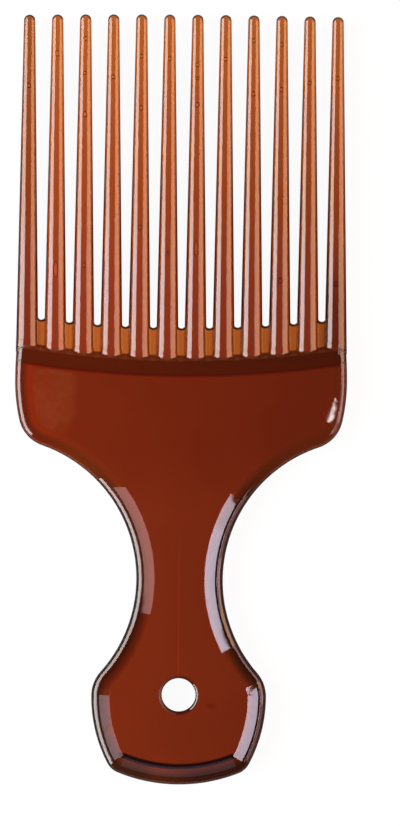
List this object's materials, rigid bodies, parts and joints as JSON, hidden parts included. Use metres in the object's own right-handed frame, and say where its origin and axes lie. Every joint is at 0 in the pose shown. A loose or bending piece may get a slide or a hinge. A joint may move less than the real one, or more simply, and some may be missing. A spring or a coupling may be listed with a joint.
{
  "type": "afro pick",
  "caption": "Clear amber moulded hair pick: a flat waisted handle with a bevelled rim and a hang hole, and one row of long tapered round-tipped teeth with thin webs between their feet.",
  "frame": {"origin": "centre of the hang hole, on the middle plane of the moulding", "axes": "+Y along the teeth, from the butt towards the tips; +Z through the thickness, out of the front face; +X across the row of teeth"},
  "size_m": [0.0732, 0.17, 0.0054],
  "materials": {
    "amber_plastic": "clear amber-brown, polished"
  },
  "bodies": {
    "root": {"handle": "amber_plastic", "tooth_01": "amber_plastic", "tooth_02": "amber_plastic", "tooth_03": "amber_plastic", "tooth_04": "amber_plastic", "tooth_05": "amber_plastic", "tooth_06": "amber_plastic", "tooth_07": "amber_plastic", "tooth_08": "amber_plastic", "tooth_09": "amber_plastic", "tooth_10": "amber_plastic", "tooth_11": "amber_plastic", "tooth_12": "amber_plastic", "web_01": "amber_plastic", "web_02": "amber_plastic", "web_03": "amber_plastic", "web_04": "amber_plastic", "web_05": "amber_plastic", "web_06": "amber_plastic", "web_07": "amber_plastic", "web_08": "amber_plastic", "web_09": "amber_plastic", "web_10": "amber_plastic", "web_11": "amber_plastic"}
  },
  "joints": []
}
